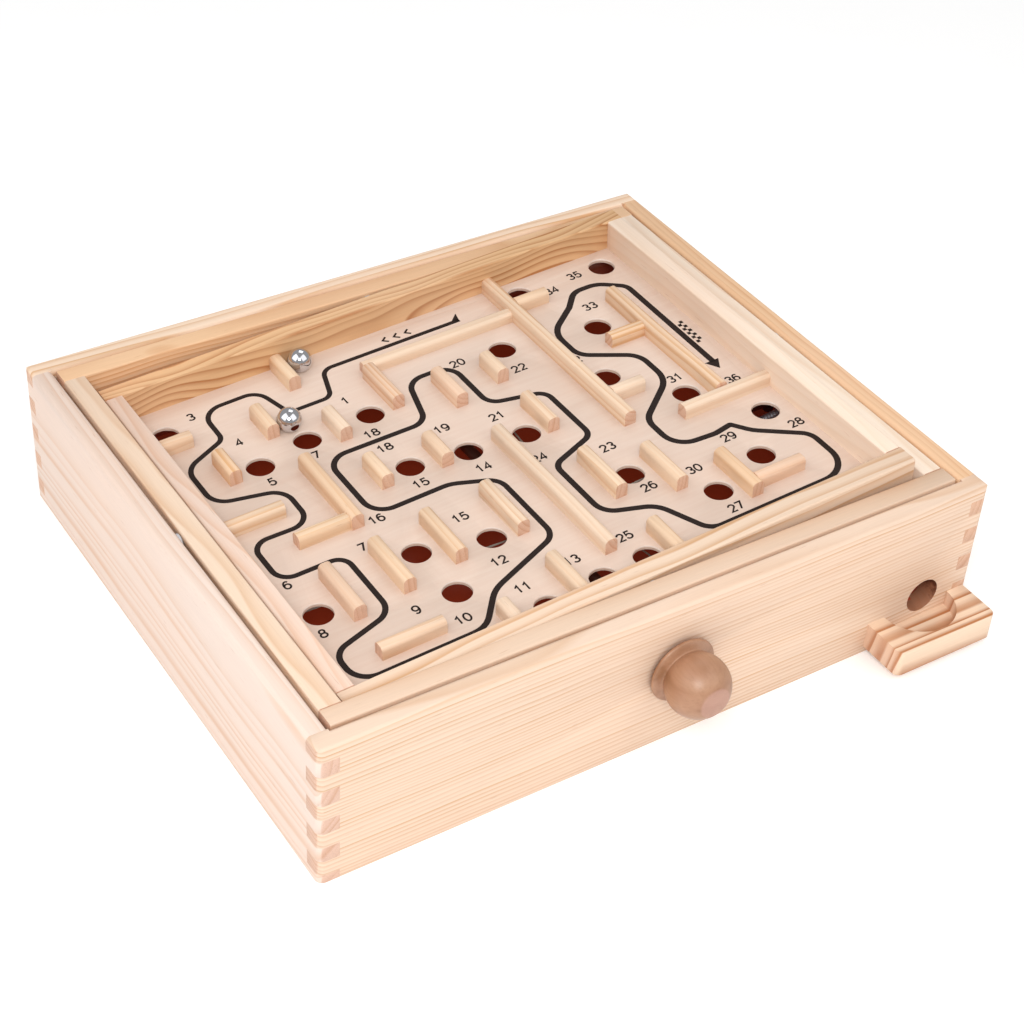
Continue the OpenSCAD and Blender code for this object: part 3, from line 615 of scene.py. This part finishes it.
# Corners of the printed path, in mm from the floor's middle, and the radius of each bend
PATH = [
    (33.4, 86.1, 0), (-34.4, 86.1, 6), (-40.1, 67.9, 5), (-59.8, 67.9, 5), (-64.8, 87.6, 8),
    (-90.8, 87.2, 9), (-91.1, 66.6, 5), (-112.1, 56.8, 10), (-112.1, 32, 9), (-84.6, 24.9, 9),
    (-84.8, 2.2, 8), (-110.8, 2.8, 7), (-110.8, -21.9, 7), (-83.4, -21.9, 6), (-83.4, -58.2, 9),
    (-112.1, -66.4, 8), (-112, -84.4, 10), (-57.8, -84.4, 12), (-44.6, -68.6, 18),
    (-8.8, -54.7, 8), (-9, -14.9, 8), (-27.3, -6.9, 15), (-61.8, -7.4, 9), (-61.8, 32.6, 9),
    (-15.1, 32.2, 8), (-7.8, 59.9, 9), (13.2, 59.9, 8), (13.2, 29, 7), (37.4, 23, 6),
    (37.7, -10.8, 6), (14.5, -19.4, 6), (14.6, -53.6, 9), (34.9, -61.4, 12), (44.8, -84.4, 8),
    (114.2, -84.4, 14), (114.2, -58.2, 8), (95.2, -43.7, 15), (89.8, -35.9, 0.6),
    (81.2, -37.4, 12), (62.4, -35.9, 13), (62.5, -15, 10), (85.4, 3.1, 14), (85.4, 23.2, 10),
    (63.2, 37.1, 9), (63.2, 56.1, 14), (79.2, 68.2, 2), (87.2, 77, 9), (99.2, 77, 12),
    (110, 68.4, 6), (109.5, 2.6, 0),
]
# Numbers by the holes, where the middle of each stands
NUMBERS = [
    ("1", -36.5, 62.4), ("3", -95.8, 86.7), ("4", -86.3, 61.4), ("5", -86.4, 32),
    ("6", -109.6, -24.9), ("7", -75.1, -21.3), ("8", -110.5, -55.1), ("9", -75.1, -62.4),
    ("10", -62.8, -75.8), ("11", -35.1, -73.3), ("12", -34.7, -55.9), ("13", -11.1, -70.3),
    ("14", -10.3, -5.1), ("15", -36.7, -0.3), ("15", -34.2, -26.4), ("16", -62.3, -9.8),
    ("17", -65.4, 37.5), ("18", -37.8, 37.6), ("18", -37.8, 26.7), ("19", -12, 25),
    ("20", 16.5, 59.8), ("21", 11.5, 20), ("22", 36.9, 42.9), ("23", 38.9, -21.1),
    ("24", 11.8, -12), ("25", 13.8, -69.8), ("26", 38.9, -50.3), ("27", 60.8, -78.7),
    ("28", 113.6, -49.1), ("29", 84.4, -41.9), ("30", 60.5, -51.1), ("31", 88.8, 1.9),
    ("32", 59.6, 34.8), ("33", 87.4, 64.2), ("34", 79.6, 83.2), ("35", 94.5, 87.6),
    ("36", 109.2, -11.5),
]
DIGIT_W = 2.6
DIGIT_H = 4.1
DIGIT_GAP = 0.95
DIGIT_PEN = 0.8


def line_through(*points):
    return [Vector(p) for p in points]


# Strokes of each digit in a box one unit wide and one unit high
DIGITS = {
    "0": [arc((0.5, 0.5), (0.5, 0.5), 90, 450)],
    "1": [line_through((0.12, 0.74), (0.55, 1.0), (0.55, 0.0))],
    "2": [arc((0.5, 0.72), (0.46, 0.28), 170, -30) + line_through((0.03, 0.0), (1.0, 0.0))],
    "3": [arc((0.5, 0.76), (0.42, 0.24), 160, -90) + arc((0.5, 0.26), (0.48, 0.26), 90, -160)],
    "4": [line_through((0.72, 0.0), (0.72, 1.0), (0.0, 0.28), (1.0, 0.28))],
    "5": [line_through((0.92, 1.0), (0.2, 1.0), (0.1, 0.52))
          + arc((0.48, 0.32), (0.5, 0.32), 125, -160)],
    "6": [arc((0.52, 0.5), (0.5, 0.5), 50, 180) + arc((0.5, 0.32), (0.48, 0.32), 180, 520)],
    "7": [line_through((0.0, 1.0), (1.0, 1.0), (0.35, 0.0))],
    "8": [arc((0.5, 0.76), (0.4, 0.24), 90, 450), arc((0.5, 0.27), (0.5, 0.27), 90, 450)],
    "9": [arc((0.48, 0.5), (0.5, 0.5), 230, 360) + arc((0.5, 0.68), (0.48, 0.32), 0, 340)],
}

black_ink = ink()
track = Print()
# the printed line is a little wider at its end than at its start
PATH_PEN, PATH_PEN_GAIN = 2.15, 0.7
track.stroke(rounded_line(PATH), lambda share: PATH_PEN + PATH_PEN_GAIN * share)
# arrowhead at the end of the finish lane, and a small barb where the path starts
track.slab(line_through((105.7, 3.4), (109.2, -2.6)), line_through((112.7, 3.4), (109.3, -2.6)))
track.slab(line_through((30.2, 87.2), (34.3, 91.0)), line_through((33.2, 85.8), (34.4, 90.9)))
track.make("printed_path")

numbers = Print()
for label, x, y in NUMBERS:
    left = x - (len(label) * DIGIT_W + (len(label) - 1) * DIGIT_GAP) / 2
    for place, digit in enumerate(label):
        corner = Vector((left + place * (DIGIT_W + DIGIT_GAP), y - DIGIT_H / 2))
        for outline in DIGITS[digit]:
            numbers.stroke([corner + Vector((p.x * DIGIT_W, p.y * DIGIT_H)) for p in outline],
                           DIGIT_PEN)
numbers.make("hole_numbers")

marks = Print()
# three chevrons point along the start lane
for step in range(3):
    tip = Vector((-2.5 + step * 5.5, 90.6))
    marks.stroke([tip + Vector((2.2, 1.8)), tip, tip + Vector((2.2, -1.8))], 0.9)
# two rows of squares, like a small chequered flag, stand by the finish lane
SQUARE = 1.7
for row in range(2):
    for column in range(5):
        low = Vector((111.9 + row * SQUARE, 17 + (2 * column + row) * SQUARE))
        high = low + Vector((SQUARE, SQUARE))
        marks.slab(line_through(low, (low.x, high.y)), line_through((high.x, low.y), high))
marks.make("start_and_finish_marks")


SIDES = 96


def turned(name, node, body, outline, axis, start, material):
    """Revolves an outline of (distance from start, radius) mm about an axis."""
    across = Vector((0, 0, 1))
    other = axis.cross(across)
    points = []
    faces = []
    for distance, radius in outline:
        for i in range(SIDES):
            angle = 2 * math.pi * i / SIDES
            ray = across * math.cos(angle) + other * math.sin(angle)
            points.append(start + axis * (distance * MM) + ray * (radius * MM))
    for k in range(len(outline) - 1):
        ring, following = k * SIDES, (k + 1) * SIDES
        for i in range(SIDES):
            j = (i + 1) % SIDES
            faces.append((ring + i, ring + j, following + j, following + i))
    faces.append(tuple(range(SIDES)))
    faces.append(tuple(range(len(points) - SIDES, len(points))))
    piece = add_piece(name, points, faces, material, body, smooth=True)
    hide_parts(node)


# The turned knob: its ball and waist as shares of the collar and ball radius, and how far the
# ball's middle stands behind the flattened nose, as a share of the ball's radius
BALL_SHARE = 0.901
WAIST_SHARE = 0.82
NOSE_SHARE = 0.883
COLLAR_T = 2.0
COLLAR_ROUND = 0.9


def knob_outline(node, axis_index):
    """Flared collar, hollow waist, ball and flattened nose, sized to fill the CAD knob's box."""
    low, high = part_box(node)
    length = (high[axis_index] - low[axis_index]) / MM
    collar = (high.z - low.z) / 2 / MM
    ball = collar * BALL_SHARE
    middle = length - ball * NOSE_SHARE
    waist = ball * WAIST_SHARE
    neck = middle - math.sqrt(ball ** 2 - waist ** 2)
    back = [(0.0, collar - 1.2)]
    rim = arc((COLLAR_T / 2, collar - COLLAR_ROUND), (COLLAR_ROUND, COLLAR_ROUND), 170, 20)
    hollow = []
    for i in range(1, 8):
        share = i / 8
        sag = (1 - share) ** 2
        hollow.append((COLLAR_T + (neck - COLLAR_T) * share,
                       waist + (collar - 0.8 - waist) * sag))
    turn = math.degrees(math.acos((neck - middle) / ball))
    sphere = arc((middle, 0.0), (ball, ball), turn, 30, 4)
    nose = [(length - 0.12, sphere[-1].y - 0.6), (length, sphere[-1].y - 1.5)]
    return back + rim + hollow + sphere + nose


for name, node, body, axis_index, way in (
        ("turned_front_knob", "front_knob", "front_knob_shaft", 1, Vector((0, -1, 0))),
        ("turned_side_knob", "side_knob", "side_knob_shaft", 0, Vector((1, 0, 0)))):
    low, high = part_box(node)
    start = (low + high) / 2
    start[axis_index] = high.y if axis_index else low.x
    knob_wood = beech(node, "XYZ"[axis_index], way[axis_index])
    turned(name, node, body, knob_outline(node, axis_index), way, start, knob_wood)


def polished_ball(node, material):
    """A finely divided sphere in place of the CAD ball."""
    low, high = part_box(node)
    middle = (low + high) / 2
    work = bmesh.new()
    bmesh.ops.create_icosphere(work, subdivisions=5, radius=(high.x - low.x) / 2)
    points = [middle + vertex.co for vertex in work.verts]
    faces = [tuple(vertex.index for vertex in face.verts) for face in work.faces]
    work.free()
    ball = add_piece("polished_" + node, points, faces, material, node, smooth=True)
    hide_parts(node)


mirror = polished_steel()
for node in ("ball_1", "ball_2"):
    polished_ball(node, mirror)


# ---------- floor, light and camera ----------

def look_from(azimuth, elevation):
    """Unit vector towards a place seen at these angles: azimuth 0 is in front, 90 to the right."""
    a, e = math.radians(azimuth), math.radians(elevation)
    return Vector((math.sin(a) * math.cos(e), -math.cos(a) * math.cos(e), math.sin(e)))


def softbox(name, azimuth, elevation, distance, size, power):
    light = bpy.data.objects.new(name, bpy.data.lights.new(name, "AREA"))
    light.data.shape = "RECTANGLE"
    light.data.size, light.data.size_y = size
    light.data.energy = power
    away = look_from(azimuth, elevation)
    light.location = PIVOT + away * distance
    light.rotation_euler = away.to_track_quat("Z", "Y").to_euler()
    bpy.context.scene.collection.objects.link(light)


def studio_floor():
    """Pale floor; the camera sees it fade out far away, and looks through it from below."""
    half = 4.0  # metres
    mesh = bpy.data.meshes.new("studio_floor")
    mesh.from_pydata([(-half, -half, 0), (half, -half, 0), (half, half, 0), (-half, half, 0)], [],
                     [(0, 1, 2, 3)])
    floor = bpy.data.objects.new("studio_floor", mesh)
    floor.location.z = -0.05 * MM
    bpy.context.scene.collection.objects.link(floor)
    s = Shader("studio_floor")
    place = s.node("TexCoord").outputs["Object"]
    paper = s.noise(place, 40.0, 2.0).outputs[0]
    s.finish(s.mix(paper, rgb("F8F8F8"), rgb("F6F6F6")), 0.9, Specular_IOR_Level=0.1,
             Emission_Color=rgb("FFFFFF"), Emission_Strength=0.15)
    up = s.node("VectorTransform", {0: (0.0, 0.0, 1.0)}, vector_type="VECTOR",
                convert_from="WORLD", convert_to="CAMERA").outputs[0]
    below = s.math("GREATER_THAN", s.split(up)[2], 0.02)
    distance = s.node("VectorMath", {0: place}, operation="LENGTH").outputs["Value"]
    far = s.steps(s.times(distance, 0.5), [(0.20, 0.0), (0.70, 1.0)])
    far = s.times(far, s.node("LightPath").outputs["Is Camera Ray"])
    clear = s.node("BsdfTransparent").outputs[0]
    unseen = s.math("MAXIMUM", below, far)
    both = s.node("MixShader", {0: unseen, 1: s.surface.outputs[0], 2: clear}).outputs[0]
    s.feed(s.tree.nodes["Material Output"].inputs["Surface"], both)
    mesh.materials.append(s.material)


def studio_air():
    """Even pale light all round, which the camera itself sees as white paper."""
    world = bpy.data.worlds.new("studio")
    bpy.context.scene.world = world
    world.use_nodes = True
    tree = world.node_tree
    lit = tree.nodes["Background"]
    lit.inputs[0].default_value = (1.0, 0.99, 0.98, 1.0)
    lit.inputs[1].default_value = 0.42
    seen = tree.nodes.new("ShaderNodeBackground")
    seen.inputs[0].default_value = (1.0, 1.0, 1.0, 1.0)
    either = tree.nodes.new("ShaderNodeMixShader")
    path = tree.nodes.new("ShaderNodeLightPath")
    tree.links.new(path.outputs["Is Camera Ray"], either.inputs[0])
    tree.links.new(lit.outputs[0], either.inputs[1])
    tree.links.new(seen.outputs[0], either.inputs[2])
    tree.links.new(either.outputs[0], tree.nodes["World Output"].inputs["Surface"])


studio_floor()
studio_air()
# azimuth, elevation, distance and size in metres, power in watts
softbox("right_softbox", 30, 46, 1.5, (1.4, 1.4), 6.6)
softbox("left_softbox", -94, 44, 1.5, (1.4, 1.4), 7.4)
softbox("camera_fill", -34, 42, 1.5, (0.45, 0.45), 10.2)
softbox("back_light", 140, 55, 1.7, (0.8, 0.8), 3.2)

# Camera round a point a little in front of and below the pivots
VIEW_AZIMUTH, VIEW_ELEVATION, VIEW_ROLL = -34.7, 39.04, 3.83
VIEW_TARGET = PIVOT + Vector((0.0, -0.0131, -0.031))
VIEW_DISTANCE = 0.8676
camera = bpy.data.objects.new("camera", bpy.data.cameras.new("camera"))
bpy.context.scene.collection.objects.link(camera)
back = look_from(VIEW_AZIMUTH, VIEW_ELEVATION)
right = Vector((0, 0, 1)).cross(back).normalized()
turn = Matrix.Rotation(math.radians(VIEW_ROLL), 3, back)
axes = Matrix((turn @ right, turn @ back.cross(right), back)).transposed().to_4x4()
camera.matrix_world = Matrix.Translation(VIEW_TARGET + back * VIEW_DISTANCE) @ axes
camera.data.sensor_width = 36.0
camera.data.lens = 74.85
bpy.context.scene.camera = camera
bpy.context.scene.view_settings.view_transform = "Standard"
